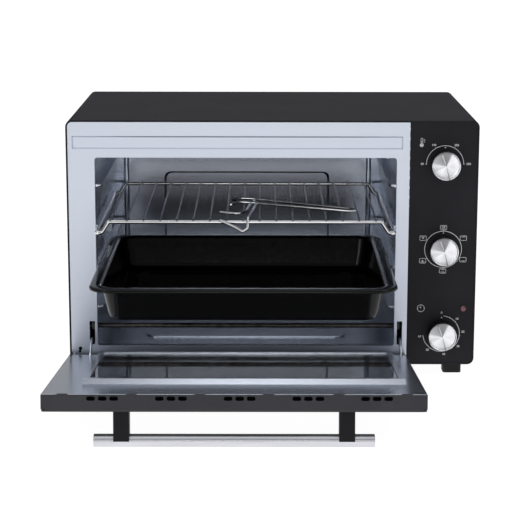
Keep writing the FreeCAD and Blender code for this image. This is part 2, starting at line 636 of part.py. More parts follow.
def handle():
    bar_x = ("door_width / 2 - bar_length / 2", "door_width / 2 + bar_length / 2")
    bar = cylinder("bar_rod", "bar_radius", "x", bar_x, ("bar_y", "bar_z"))
    bar = rounded("bar_round", bar, 0.8, lambda edge: edge.Curve.TypeId == "Part::GeomCircle")
    door_node("handle_bar", bar)
    pieces = []
    for side in SIDES:
        x = (f"{post_x(side)} - post_width / 2", f"{post_x(side)} + post_width / 2")
        z = ("bar_z - post_depth / 2", "bar_z + post_depth / 2")
        block = box(f"post_block_{side}", x, ("bar_y", "0 - door_face"), z)
        seat = cylinder(f"post_seat_{side}", "bar_radius", "x", (0, "door_width"), ("bar_y", "bar_z"))
        thread = cylinder(f"post_thread_{side}", 2, "y", (-40, 0), (post_x(side), "bar_z"))
        door_node(f"handle_post_{side}", cut(f"post_{side}", block, seat, thread))
        shank = cylinder(f"post_shank_{side}", 2, "y", (-40, -16), (post_x(side), "bar_z"))
        head = cylinder(f"post_head_{side}", 4.5, "y", ("glass_thickness - door_face + 1.2", -15),
                        (post_x(side), "bar_z"))
        pieces.append(fuse(f"post_screw_{side}", shank, head))
    door_node("handle_screws", group("post_screws", *pieces))


def arm_shape(side):
    """A flat ring sector about the hinge, wide enough to stay in the front frame's slot."""
    centre = dim(f"arm_{side}")
    half = dim("arm_thickness") / 2
    start = Vector(centre - half, dim("pivot_y"), dim("pivot_z"))
    ring = Part.makeCylinder(dim("arm_outer"), 2 * half, start, Vector(1, 0, 0)).cut(
        Part.makeCylinder(dim("arm_inner"), 2 * half, start, Vector(1, 0, 0)))
    reach = 3 * dim("arm_outer")
    fan = [start + Vector(0, -reach * math.cos(a), reach * math.sin(a))
           for a in (math.radians(94 + (195 - 94) * i / 6) for i in range(7))]
    wedge_face = Part.Face(Part.makePolygon([start] + fan + [start]))
    sector = ring.common(wedge_face.extrude(Vector(2 * half, 0, 0)))
    foot_y = -dim("door_back") - dim("skin") - 0.05
    foot = Part.makeBox(13, 1.8, 13, Vector(centre - 6.5, foot_y - 1.8, dim("pivot_z") + 17))
    return sector.fuse(foot).removeSplitter()


def hinges():
    pins = []
    for side in SIDES:
        door_node(f"hinge_arm_{side}", own_shape(f"arm_{side}", arm_shape(side)))
        pins.append(cylinder(f"pin_{side}", "pin_radius", "x", span(0.5, 10, side), ("pivot_y", "pivot_z")))
        ear = box(f"ear_{side}", span(4, 6.5, side), ("pivot_y", 3), ("pivot_z - 3", "pivot_z + 3"))
        eye = cylinder(f"eye_{side}", 5, "x", span(4, 6.5, side), ("pivot_y", "pivot_z"))
        plate = box(f"ear_plate_{side}", span(4, 12, side), ("front_skin", 2.6), (4, 22))
        bore = cylinder(f"eye_bore_{side}", "pin_radius + 0.05", "x", span(0, 20, side),
                        ("pivot_y", "pivot_z"))
        node(f"hinge_bracket_{side}", cut(f"bracket_{side}", fuse(f"bracket_whole_{side}", ear, eye, plate),
                                          bore))
        centre = (f"arm_{side}", 14)
        coil = cut(f"coil_{side}", cylinder(f"coil_outer_{side}", 3.4, "y", (44, 112), centre),
                   cylinder(f"coil_inner_{side}", 2.2, "y", (40, 120), centre))
        node(f"door_spring_{side}", coil)
    door_node("hinge_pins", group("pins", *pins))


# ---------------------------------------------------------------- rack, tray and lifting handle


def rack():
    front, back = dim("rack_front"), dim("rack_back")
    low, high, side_x = dim("rack_side_z"), dim("rack_z"), dim("rack_side")
    far_x = dim("cavity_left") + dim("cavity_right") - side_x
    step, rise = 7.5, 16.5
    corners = [Vector(far_x - rise, front, high), Vector(side_x + rise, front, high),
               Vector(side_x + step, front, low), Vector(side_x, front, low), Vector(side_x, back, low),
               Vector(side_x + step, back, low), Vector(side_x + rise, back, high),
               Vector(far_x - rise, back, high), Vector(far_x - step, back, low), Vector(far_x, back, low),
               Vector(far_x, front, low), Vector(far_x - step, front, low)]
    middle = Vector((side_x + far_x) / 2, front, high)
    frame = bent_wire([middle] + corners[1:] + [corners[0], middle], dim("rail_radius"), 3.4)
    node("rack_frame", own_shape("rack_loop", frame))
    wires = []
    for i in range(GRID_WIRES):
        x = f"grid_first + grid_pitch * {i}"
        wires.append(cylinder(f"grid_wire_{i}", "grid_radius", "y", ("rack_front - 2", "rack_back + 2"),
                              (x, "rack_z + rail_radius + grid_radius - 0.2")))
    node("rack_wires", group("grid", *wires))


def rounded_outline(left, right, front, back, radius, height):
    """A rounded rectangle as one wire, at a height."""
    return bare_outline([Vector(left, front, height), Vector(right, front, height),
                         Vector(right, back, height), Vector(left, back, height)], radius)


def bare_outline(corners, radius):
    face = Part.Face(Part.makePolygon(corners + corners[:1]))
    solid = face.extrude(Vector(0, 0, 1))
    upright = [edge for edge in solid.Edges if along(Vector(0, 0, 1))(edge)]
    solid = solid.makeFillet(radius, upright)
    low = min(solid.Faces, key=lambda f: f.CenterOfMass.z)
    return low.OuterWire


def baking_tray():
    left, right, front, back = (dim(f"tray_{name}") for name in ("left", "right", "front", "back"))
    top, skin, rim, draft = dim("tray_z"), dim("tray_skin"), dim("tray_rim"), dim("tray_draft")
    radius, corner, lip = dim("tray_radius"), dim("tray_corner"), dim("tray_lip")
    floor = top - dim("tray_depth")

    def outline(inset, height, corner_radius):
        return rounded_outline(left + inset, right - inset, front + inset, back - inset,
                               corner_radius, height)

    def between(upper, lower):
        """Solid between two outlines, each given as inset, height and corner radius."""
        return Part.makeLoft([outline(*upper), outline(*lower)], True, True)

    def slab(inset, low, high, corner_radius):
        return Part.Face(outline(inset, low, corner_radius)).extrude(Vector(0, 0, high - low))
    border = slab(0, top - lip, top, radius)
    under = slab(skin, top - lip - 1, top - skin, radius - skin)
    bowl = between((rim - skin, top - skin / 2, corner + 1), (rim + draft - skin, floor, corner - 3))
    space = between((rim, top + CLEAR, corner), (rim + draft, floor + skin, corner - 4))
    tray = border.cut(under).fuse(bowl).cut(space).removeSplitter()
    node("baking_tray", own_shape("tray_pressing", tray))


def lifting_handle():
    """A long two-rod grip with a pair of prongs that hook over the rack's front rail."""
    radius = dim("tool_radius")
    height = dim("rack_z") + dim("rail_radius") + 2 * dim("grid_radius") + 0.1 + radius

    def at(x, y, drop=0.0):
        return Vector(x, y, height - drop)
    grip = bent_wire([at(219, 70), at(231, 86), at(252, 80), at(379, 4), at(389, -10), at(377, -14),
                      at(281, 33), at(252, 48), at(231, 56), at(219, 38)], radius, 4)
    brace = Part.makeCylinder(radius, 32, at(251, 48), Vector(0, 1, 0))
    node("handle_grip", own_shape("grip_wire", grip.fuse(brace).removeSplitter()))
    near = dim("rack_front") - 2 - dim("rail_radius") - radius - 2.6
    hook = bent_wire([at(253, 40), at(248, -20), at(243, near + 2), at(242, near, 14),
                      at(236, near, 18), at(226, near, 12), at(206, near - 3, 2)], radius, 3)
    hook_two = bent_wire([at(246, 44), at(240, -15), at(230, -36), at(206, -22)], radius, 4)
    node("handle_hooks", own_shape("hook_wire", hook.fuse(hook_two).removeSplitter()))


# ---------------------------------------------------------------- build, check and export

for build in (outer_casing, base_plate, feet, front_frame, control_panel, rear_cover, screws,
              cavity_shell, heaters, controls, lamp, sensor, spit_drive, electrics, door_frame,
              door_liner, door_panes, handle, hinges, rack, baking_tray, lifting_handle):
    build()
doc.recompute()

whole = Part.makeCompound([item.Shape for item in NODES.values()]).BoundBox
to_rest = Placement(Vector(-(whole.XMin + whole.XMax) / 2, -(whole.YMin + whole.YMax) / 2, -whole.ZMin),
                    Rotation())
for item in NODES.values():
    item.Placement = to_rest.multiply(item.Placement)
doc.recompute()

failed = [item.Name for item in doc.Objects if {"Invalid", "Error"} & set(item.State)]
failed += [label for label, item in NODES.items() if item.Shape.isNull() or not item.Shape.isValid()]
if failed:
    raise SystemExit(f"failed: {failed}")
for label, item in NODES.items():
    item.Shape.exportStep(f"parts/{label}.step")
print(len(NODES), "nodes, origin shift", to_rest.Base)
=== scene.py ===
"""The looks of the oven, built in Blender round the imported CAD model, in metres and in its frame."""

import math

import bmesh
import bpy
from mathutils import Matrix, Vector


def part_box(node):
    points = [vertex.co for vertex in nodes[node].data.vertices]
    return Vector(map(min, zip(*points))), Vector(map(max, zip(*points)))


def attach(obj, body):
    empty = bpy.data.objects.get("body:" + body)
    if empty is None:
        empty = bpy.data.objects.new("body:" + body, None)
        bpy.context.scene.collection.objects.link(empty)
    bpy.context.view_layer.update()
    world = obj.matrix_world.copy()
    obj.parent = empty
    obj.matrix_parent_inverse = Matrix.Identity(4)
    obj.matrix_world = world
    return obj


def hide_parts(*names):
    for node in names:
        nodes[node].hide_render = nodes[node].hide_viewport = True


MM = 0.001
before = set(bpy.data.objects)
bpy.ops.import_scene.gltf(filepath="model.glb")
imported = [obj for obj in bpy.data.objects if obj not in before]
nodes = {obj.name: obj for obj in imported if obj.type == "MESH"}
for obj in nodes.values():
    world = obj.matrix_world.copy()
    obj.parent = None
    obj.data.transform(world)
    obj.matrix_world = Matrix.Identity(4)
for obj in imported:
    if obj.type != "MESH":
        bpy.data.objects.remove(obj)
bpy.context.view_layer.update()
scene = bpy.context.scene

# ---------------------------------------------------------------- camera, light and floor

CAMERA_PLACE = Vector((-0.0153, -2.3472, 0.6470))
CAMERA_YAW, CAMERA_PITCH, CAMERA_ROLL = math.radians(0.141), math.radians(12.014), math.radians(0.108)
SENSOR, LENS, CLIP = 36.0, 119.04, (0.05, 40)
FLOOR_HALF = 16.0
# where the studio's brightening starts and ends, as sines of the height angle, and its two strengths
CEILING = (0.5, 0.97, 0.24, 0.9)
STUDIO_COLOUR = (0.97, 0.98, 1.0, 1)
# name, place, target, side length and power of each soft box
LIGHTS = (("fill", (-1.9, -2.2, 1.5), (0, 0, 0.15), 1.0, 9),
          ("rim", (1.7, -0.9, 1.6), (0, 0, 0.1), 0.5, 4),
          ("front", (0.0, -3.3, 0.62), (0, 0, 0.1), 0.55, 2.8))


def look(yaw, pitch, roll):
    """The camera's turn for a heading, a downward tilt and a roll."""
    ahead = Vector((math.sin(yaw) * math.cos(pitch), math.cos(yaw) * math.cos(pitch), -math.sin(pitch)))
    right = Vector((math.cos(yaw), -math.sin(yaw), 0))
    up = right.cross(ahead)
    side = right * math.cos(roll) + up * math.sin(roll)
    over = up * math.cos(roll) - right * math.sin(roll)
    return Matrix((side, over, -ahead)).transposed().to_4x4()


def add_camera():
    data = bpy.data.cameras.new("camera")
    data.sensor_width, data.lens = SENSOR, LENS
    data.clip_start, data.clip_end = CLIP
    camera = bpy.data.objects.new("camera", data)
    camera.matrix_world = Matrix.Translation(CAMERA_PLACE) @ look(CAMERA_YAW, CAMERA_PITCH, CAMERA_ROLL)
    scene.collection.objects.link(camera)
    scene.camera = camera


def add_light(name, place, target, size, power):
    """A square soft box that faces a target."""
    data = bpy.data.lights.new(name, "AREA")
    data.shape, data.size, data.energy = "SQUARE", size, power
    light = bpy.data.objects.new(name, data)
    light.location = place
    light.rotation_euler = (Vector(target) - Vector(place)).to_track_quat("-Z", "Y").to_euler()
    scene.collection.objects.link(light)


def add_world():
    """A studio with one broad soft ceiling: bright overhead, dim at eye level, white behind the object."""
    world = bpy.data.worlds.new("studio")
    scene.world = world
    world.use_nodes = True
    tree = world.node_tree
    back = tree.nodes["Background"]
    place = tree.nodes.new("ShaderNodeTexCoord")
    split = tree.nodes.new("ShaderNodeSeparateXYZ")
    height = tree.nodes.new("ShaderNodeMapRange")
    seen = tree.nodes.new("ShaderNodeLightPath")
    white = tree.nodes.new("ShaderNodeMix")
    tree.links.new(place.outputs["Generated"], split.inputs[0])
    tree.links.new(split.outputs["Z"], height.inputs["Value"])
    height.interpolation_type = "SMOOTHSTEP"
    for socket, value in zip(("From Min", "From Max", "To Min", "To Max"), CEILING):
        height.inputs[socket].default_value = value
    white.data_type = "FLOAT"
    tree.links.new(seen.outputs["Is Camera Ray"], white.inputs["Factor"])
    tree.links.new(height.outputs[0], white.inputs["A"])
    white.inputs["B"].default_value = 1.0
    tree.links.new(white.outputs[0], back.inputs["Strength"])
    back.inputs["Color"].default_value = STUDIO_COLOUR


add_camera()
add_world()
for light in LIGHTS:
    add_light(*light)
scene.view_settings.view_transform = "Standard"

# ---------------------------------------------------------------- materials


class Finish:
    """A procedural material round one Principled shader. Uniform values sit on its own sockets."""

    def __init__(self, name, **plain):
        self.material = bpy.data.materials.new(name)
        self.material.use_nodes = True
        self.tree = self.material.node_tree
        self.surface = self.tree.nodes["Principled BSDF"]
        self.place = self.node("TexCoord").outputs["Object"]
        for socket, value in plain.items():
            self.surface.inputs[socket.replace("_", " ")].default_value = value

    def node(self, kind, inputs=None, **settings):
        made = self.tree.nodes.new("ShaderNode" + kind)
        for key, value in settings.items():
            setattr(made, key, value)
        for key, value in (inputs or {}).items():
            self.feed(value, made.inputs[key])
        return made

    def feed(self, value, socket):
        if isinstance(value, bpy.types.NodeSocket):
            self.tree.links.new(value, socket)
        else:
            socket.default_value = value

    def stretched(self, scale):
        """Coordinates scaled by axis, for brushing lines."""
        return self.node("Mapping", {"Vector": self.place, "Scale": scale}).outputs[0]

    def noise(self, scale, detail=3.0, roughness=0.5, stretch=None):
        where = self.stretched(stretch) if stretch else self.place
        inputs = {"Vector": where, "Scale": scale, "Detail": detail, "Roughness": roughness}
        return self.node("TexNoise", inputs).outputs[0]

    def cells(self, scale):
        """A value for each grain of a crystalline surface."""
        colour = self.node("TexVoronoi", {"Vector": self.place, "Scale": scale}).outputs["Color"]
        return self.node("SeparateColor", {"Color": colour}).outputs[0]

    def spread(self, value, low, high, start=0.3, end=0.7):
        inputs = {"Value": value, "From Min": start, "From Max": end, "To Min": low, "To Max": high}
        return self.node("MapRange", inputs).outputs[0]

    def sum(self, first, second, operation="ADD"):
        made = self.node("Math", operation=operation)
        self.feed(first, made.inputs[0])
        self.feed(second, made.inputs[1])
        return made.outputs[0]

    def blend(self, factor, dark, light):
        made = self.node("Mix", data_type="RGBA")
        for socket, value in zip((0, 6, 7), (factor, dark, light)):
            if isinstance(value, tuple) and len(value) == 3:
                value = (*value, 1)
            self.feed(value, made.inputs[socket])
        return made.outputs[2]

    def tint(self, factor, dark, light):
        self.feed(self.blend(factor, dark, light), self.surface.inputs["Base Color"])
        return self

    def gloss(self, value, low, high, start=0.3, end=0.7):
        self.feed(self.spread(value, low, high, start, end), self.surface.inputs["Roughness"])
        return self

    def relief(self, height, depth, strength=0.6):
        """Bumps of a depth in millimetres."""
        inputs = {"Height": height, "Distance": depth * MM, "Strength": strength}
        self.feed(self.node("Bump", inputs).outputs[0], self.surface.inputs["Normal"])
        return self


def powder_coat(name, dark, light, roughness, grain=1400.0, specular=0.2):
    """Fine textured black paint with a slight cloudiness."""
    made = Finish(name, Specular_IOR_Level=specular)
    fine, broad = made.noise(grain, 2.0), made.noise(14.0)
    made.tint(made.spread(made.sum(fine, broad), 0, 1, 0.7, 1.3), dark, light)
    made.gloss(fine, roughness - 0.06, roughness + 0.08)
    return made.relief(fine, 0.05).material


def zinc(name, dark, light, roughness, rolled=(0.03, 1, 1), spangle=90.0):
    """Coated sheet steel: faint rolling lines, soft crystals and slow clouds under a satin surface."""
    made = Finish(name, Metallic=1.0)
    crystal, lines, cloud = made.cells(spangle), made.noise(420.0, 2.0, stretch=rolled), made.noise(9.0)
    mottled = made.sum(made.sum(crystal, 0.08, "MULTIPLY"), made.sum(made.sum(lines, 0.6, "MULTIPLY"), cloud))
    made.tint(made.spread(mottled, 0, 1, 0.45, 1.15), dark, light)
    made.gloss(made.sum(lines, cloud), roughness - 0.01, roughness + 0.02, 0.7, 1.3)
    return made.relief(lines, 0.0005, 0.03).material


def brushed_metal(name, dark, light, roughness, stretch, anisotropy=0.6):
    """Metal with fine parallel brushing."""
    made = Finish(name, Metallic=1.0, Anisotropic=anisotropy)
    lines, fine = made.noise(700.0, 4.0, 0.7, stretch), made.noise(60.0, stretch=stretch)
    made.tint(made.spread(lines, 0, 1, 0.3, 0.7), dark, light)
    made.gloss(made.sum(lines, fine), roughness - 0.06, roughness + 0.1, 0.6, 1.4)
    return made.relief(lines, 0.02, 0.4).material


def bright_metal(name, dark, light, roughness, wear=45.0):
    """Plated or drawn metal with small clouds and hairline scratches."""
    made = Finish(name, Metallic=1.0)
    cloud, hair = made.noise(wear, 4.0, 0.6), made.noise(1800.0, 2.0, stretch=(1, 0.08, 0.4))
    made.tint(made.spread(cloud, 0, 1), dark, light)
    made.gloss(made.sum(cloud, hair), max(roughness - 0.05, 0.02), roughness + 0.08, 0.6, 1.4)
    return made.relief(hair, 0.01, 0.25).material


def enamel(name, dark, light, roughness):
    """Glassy black enamel with orange peel and pale specks."""
    made = Finish(name, Specular_IOR_Level=0.22)
    specks, peel = made.noise(2600.0, 1.0), made.noise(160.0, 2.0)
    made.tint(made.spread(specks, 0, 1, 0.62, 0.74), dark, light)
    made.gloss(peel, roughness - 0.04, roughness + 0.06)
    return made.relief(peel, 0.06, 0.35).material


def moulded(name, dark, light, roughness, grain=1700.0, specular=0.4):
    """Moulded plastic, rubber or fired clay with a fine texture."""
    made = Finish(name, Specular_IOR_Level=specular)
    fine, cloud = made.noise(grain, 2.0), made.noise(30.0)
    made.tint(made.spread(made.sum(fine, cloud), 0, 1, 0.7, 1.3), dark, light)
    made.gloss(made.sum(fine, cloud), roughness - 0.06, roughness + 0.08, 0.7, 1.3)
    return made.relief(fine, 0.04, 0.5).material


def pane(name, tint, roughness=0.02):
    """Clear toughened glass with faint smears."""
    made = Finish(name, Transmission_Weight=1.0, IOR=1.9)
    smear = made.noise(7.0, 5.0, 0.7)
    made.tint(made.spread(smear, 0, 1), tuple(c * 0.96 for c in tint), tint)
    made.gloss(smear, roughness, roughness + 0.03, 0.4, 0.8)
    return made.relief(smear, 0.02, 0.1).material


def dark_pane(name):
    """Outer glass with a black print behind it."""
    made = Finish(name, IOR=1.5, Specular_IOR_Level=0.5)
    smear, dots = made.noise(6.0, 4.0), made.noise(1500.0, 1.0)
    made.tint(made.spread(dots, 0, 1), (0.006, 0.006, 0.007), (0.012, 0.012, 0.014))
    made.gloss(smear, 0.03, 0.09)
    return made.relief(smear, 0.02, 0.1).material


FINISHES = {
    "black_paint": powder_coat("black_paint", (0.0075, 0.0072, 0.0100), (0.0150, 0.0145, 0.0195), 0.5),
    "galvanised_steel": zinc("galvanised_steel", (0.615, 0.655, 0.745), (0.65, 0.69, 0.775), 0.25),
    "spring_steel": bright_metal("spring_steel", (0.45, 0.45, 0.45), (0.62, 0.62, 0.61), 0.28),
    "element_steel": bright_metal("element_steel", (0.10, 0.09, 0.085), (0.24, 0.22, 0.21), 0.42, 90.0),
    "ceramic": moulded("ceramic", (0.68, 0.65, 0.60), (0.82, 0.80, 0.75), 0.5, 900.0),
    "chrome": bright_metal("chrome", (0.66, 0.66, 0.68), (0.86, 0.86, 0.87), 0.08),
    "black_enamel": enamel("black_enamel", (0.0025, 0.0025, 0.003), (0.012, 0.012, 0.0125), 0.1),
    "black_glass": dark_pane("black_glass"),
    "clear_glass": pane("clear_glass", (0.93, 0.97, 0.955)),
    "brushed_steel": brushed_metal("brushed_steel", (0.58, 0.58, 0.62), (0.74, 0.74, 0.78), 0.3,
                                   (0.02, 1, 1), 0.2),
    "brushed_aluminium": brushed_metal("brushed_aluminium", (0.62, 0.62, 0.63), (0.86, 0.86, 0.87),
                                       0.3, (1, 1, 0.05)),
    "black_plastic": moulded("black_plastic", (0.006, 0.006, 0.007), (0.012, 0.012, 0.013), 0.42, 1700.0,
                             0.25),
    "rubber": moulded("rubber", (0.012, 0.012, 0.012), (0.026, 0.026, 0.026), 0.72, 1200.0, 0.25),
    "red_lens": moulded("red_lens", (0.11, 0.03, 0.042), (0.17, 0.05, 0.065), 0.08, 500.0, 0.9),
    "housing_plastic": moulded("housing_plastic", (0.62, 0.60, 0.56), (0.74, 0.72, 0.68), 0.45),
    "motor_steel": bright_metal("motor_steel", (0.36, 0.36, 0.38), (0.52, 0.52, 0.54), 0.35, 70.0),
}

# ---------------------------------------------------------------- CAD nodes keep their shape

EDGE, PRESSED_EDGE, POST_EDGE = 0.35 * MM, 1.2 * MM, 0.8 * MM
WELD_REACH, SHARP = 0.002 * MM, math.radians(40)
SOFTENED = ("black_paint", "galvanised_steel", "housing_plastic", "black_glass", "rubber")
slot_of = {name: nodes[name].material_slots[0].material.name.split(".")[0] for name in nodes}


def soften(piece, width=EDGE, segments=2):
    """Joins the faces and rounds the sharp edges, as pressed and moulded edges are."""
    weld = piece.modifiers.new("weld", "WELD")
    weld.merge_threshold = WELD_REACH
    bevel = piece.modifiers.new("edges", "BEVEL")
    bevel.width, bevel.segments = width, segments
    bevel.limit_method, bevel.angle_limit = "ANGLE", SHARP
    bevel.harden_normals = True


POST_PAINT = powder_coat("post_paint", (0.004, 0.004, 0.005), (0.009, 0.009, 0.011), 0.5)
# nodes whose surface differs from the rest of their slot, among them lighter and darker copies that paint in
# light and shade
SPECIAL = {
    # door frame: dark grey paint, made lighter than the black paint partly for its own grey and partly as
    # painted light for the reflection on its edge face
    "door_frame": powder_coat("door_frame_lightened_paint", (0.036, 0.036, 0.042), (0.052, 0.052, 0.060), 0.45, 900.0),
    # rack wires: chrome given a near-black colour, painted shade that stands in for the dark cavity they
    # reflect
    "rack_wires": bright_metal("painted_shade_wire", (0.045, 0.045, 0.05), (0.09, 0.09, 0.10), 0.2),
    "front_frame": zinc("front_frame_steel", (0.62, 0.66, 0.75), (0.655, 0.695, 0.78), 0.36),
    # rear wall: a darker copy of the galvanised steel, painted shade for the back of the cavity
    "cavity_rear_wall": zinc("shaded_rear_wall_steel", (0.52, 0.56, 0.64), (0.55, 0.59, 0.675), 0.2),
    "handle_post_left": POST_PAINT,
    "handle_post_right": POST_PAINT,
}
for name, piece in nodes.items():
    for place in piece.material_slots:
        place.material = SPECIAL.get(name, FINISHES[slot_of[name]])
    if name == "cavity_rear_wall":
        soften(piece, PRESSED_EDGE, 3)
    elif slot_of[name] in SOFTENED:
        soften(piece)
    elif name.startswith("handle_post"):
        soften(piece, POST_EDGE, 3)

# ---------------------------------------------------------------- built pieces


def made_from(name, build, body, slot=None, finish=None, origin=(0, 0, 0)):
    """A new piece from a function that fills a bmesh in millimetres about its origin."""
    grid = bmesh.new()
    build(grid)
    bmesh.ops.scale(grid, vec=(MM, MM, MM), verts=grid.verts)
    bmesh.ops.recalc_face_normals(grid, faces=grid.faces)
    mesh = bpy.data.meshes.new(name)
    grid.to_mesh(mesh)
    grid.free()
    piece = bpy.data.objects.new(name, mesh)
    piece.location = origin
    scene.collection.objects.link(piece)
    mesh.materials.append(finish or FINISHES[slot])
    for face in mesh.polygons:
        face.use_smooth = True
    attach(piece, body)
    return piece


def turned(grid, profile, steps=96, flute=None):
    """A closed solid turned about Y from (radius, y) pairs that start and end on the axis."""
    rings = []
    for radius, y in profile:
        if radius == 0:
            rings.append([grid.verts.new((0, y, 0))])
            continue
        ring = []
        for step in range(steps):
            turn = 2 * math.pi * step / steps
            reach = radius - (flute(turn) if flute else 0)
            ring.append(grid.verts.new((reach * math.sin(turn), y, reach * math.cos(turn))))
        rings.append(ring)
    for low, high in zip(rings, rings[1:]):
        for step in range(steps):
            after = (step + 1) % steps
            corners = [low[step % len(low)], high[step % len(high)], high[after % len(high)],
                       low[after % len(low)]]
            grid.faces.new(list(dict.fromkeys(corners)))


INK_DEPTH = 0.06
# letter size and stroke thickening, as parts of a figure's height
FIGURE_SIZE, FIGURE_WEIGHT = 1.35, 0.02


class Ink:
    """Marks printed on the control panel, in millimetres from a control's centre."""

    def __init__(self):
        self.strokes = []

    def stroke(self, points, width=0.62, closed=False):
        """A line of constant width with mitred corners."""
        points = [Vector(p) for p in points]
        count = len(points)
        edges = []
        for i, here in enumerate(points):
            before = points[i - 1] if i or closed else here
            after = points[(i + 1) % count] if i < count - 1 or closed else here
            ways = [d.normalized() for d in (here - before, after - here) if d.length > 0]
            mean = sum(ways, Vector((0, 0))).normalized()
            across = Vector((-mean.y, mean.x)) * width / 2 / max(mean.dot(ways[0]), 0.5)
            edges.append((here + across, here - across))
        pairs = list(zip(edges, edges[1:] + edges[:1] if closed else edges[1:]))
        self.strokes += [(a[0], a[1], b[1], b[0]) for a, b in pairs]

    def arc(self, radius, start, end, width=0.75, centre=(0, 0)):
        """An arc between two clock angles in degrees, 0 at the top."""
        steps = max(int(abs(end - start) / 4), 3)
        turns = [math.radians(start + (end - start) * i / steps) for i in range(steps + 1)]
        full = abs(end - start) >= 360
        self.stroke([(centre[0] + radius * math.sin(t), centre[1] + radius * math.cos(t))
                     for t in (turns[:-1] if full else turns)], width, full)

    def ring_tick(self, angle, near, far, width=0.55):
        turn = math.radians(angle)
        self.stroke([(r * math.sin(turn), r * math.cos(turn)) for r in (near, far)], width)

    def patch(self, *corners):
        self.strokes.append(tuple(Vector(c) for c in corners))

    def number(self, text, x, z, height=3.6):
        """Figures set in Blender's built-in typeface."""
        curve = bpy.data.curves.new("figures", "FONT")
        curve.body, curve.size, curve.align_x, curve.align_y = text, height * FIGURE_SIZE, "CENTER", "CENTER"
        curve.offset = FIGURE_WEIGHT * height
        holder = bpy.data.objects.new("figures", curve)
        scene.collection.objects.link(holder)
        bpy.context.view_layer.update()
        mesh = bpy.data.meshes.new_from_object(holder)
        for face in mesh.polygons:
            self.strokes.append(tuple(Vector((x, z)) + mesh.vertices[i].co.xy for i in face.vertices))
        bpy.data.objects.remove(holder)
        bpy.data.meshes.remove(mesh)

    def build(self, grid):
        for shape in self.strokes:
            front = [grid.verts.new((p.x, -INK_DEPTH, p.y)) for p in shape]
            back = [grid.verts.new((p.x, 0, p.y)) for p in shape]
            grid.faces.new(front)
            grid.faces.new(back[::-1])
            for i in range(len(front)):
                j = (i + 1) % len(front)
                grid.faces.new((front[i], back[i], back[j], front[j]))


def rectangle(ink, x, z, wide, high, width=0.5):
    """An outline with clipped corners."""
    a, b, c = wide / 2, high / 2, 0.8
    outline = [(-a + c, -b), (a - c, -b), (a, -b + c), (a, b - c), (a - c, b), (-a + c, b), (-a, b - c),
               (-a, -b + c)]
    ink.stroke([(x + p, z + q) for p, q in outline], width, True)


INK = Finish("panel_ink", Specular_IOR_Level=0.3)
grain = INK.noise(2500.0)
INK.tint(INK.spread(grain, 0, 1), (0.80, 0.80, 0.81), (0.92, 0.92, 0.93)).gloss(grain, 0.45, 0.6)
INK.relief(grain, 0.01, 0.3)
RING_RADIUS = 24.8
panel_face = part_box("control_panel")[0].y


def control_centre(control):
    """The middle of a control's cap, on the panel's face."""
    low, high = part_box(f"{control}_cap")
    return Vector(((low.x + high.x) / 2, panel_face, (low.z + high.z) / 2))


def pointer_mark(ink):
    """The small triangle over a knob."""
    ink.patch((-1.1, RING_RADIUS - 3.2), (0, RING_RADIUS - 1.2), (1.1, RING_RADIUS - 3.2))


def temperature_marks():
    ink = Ink()
    for start, end in ((-88, -32), (-28, 28), (32, 88)):
        ink.arc(RING_RADIUS, start, end)
    for angle in (-90, -30, 30, 90):
        ink.ring_tick(angle, RING_RADIUS - 0.6, RING_RADIUS + 1.2, 0.8)
    for text, x, z in (("80", -30.2, 0.2), ("140", -15.2, 25.6), ("200", 15.0, 25.4), ("250", 31.4, 0.2)):
        ink.number(text, x, z, 3.0)
    bulb = (-31.5, 25.6)
    ink.stroke([(bulb[0] - 1.2, bulb[1] + 1.6), (bulb[0] - 1.2, bulb[1] + 8.4), (bulb[0], bulb[1] + 9.4),
                (bulb[0] + 1.2, bulb[1] + 8.4), (bulb[0] + 1.2, bulb[1] + 1.6)], 0.5)
    for radius in (0.5, 1.3, 2.1):
        ink.arc(radius, 0, 360, 0.9, bulb)
    ink.stroke([bulb, (bulb[0], bulb[1] + 5.4)], 0.7)
    for step in range(3):
        height = bulb[1] + 4 + 1.8 * step
        ink.stroke([(bulb[0] + 2.4, height), (bulb[0] + 4.2, height)], 0.5)
    pointer_mark(ink)
    return ink


def function_marks():
    """A ring with six positions, each a small oven outline with its heating pattern."""
    ink = Ink()
    ink.arc(RING_RADIUS, 0, 360)
    for i in range(6):
        ink.ring_tick(60 * i, RING_RADIUS - 0.4, RING_RADIUS + 1.4, 0.7)
    places = ((0, 29.6), (27, 15.4), (27, -14.2), (0, -29.7), (-27.3, -15.8), (-27.2, 15.3))
    patterns = ("both wave", "top", "bottom", "both", "fan bottom", "fan top")
    for (x, z), pattern in zip(places, patterns):
        rectangle(ink, x, z, 8.6, 6.2)
        if "top" in pattern or "both" in pattern:
            ink.stroke([(x - 2.6, z + 1.6), (x + 2.6, z + 1.6)], 0.6)
        if "bottom" in pattern or "both" in pattern:
            ink.stroke([(x - 2.6, z - 1.6), (x + 2.6, z - 1.6)], 0.6)
        if "wave" in pattern:
            ink.stroke([(x - 2.4, z - 0.3), (x - 1.2, z + 0.4), (x, z - 0.3), (x + 1.2, z + 0.4),
                        (x + 2.4, z - 0.3)], 0.5)
        if "fan" in pattern:
            for turn in (0, 120, 240):
                t = math.radians(turn)
                ink.stroke([(x, z), (x + 1.3 * math.sin(t), z + 1.3 * math.cos(t))], 0.8)
    pointer_mark(ink)
    return ink


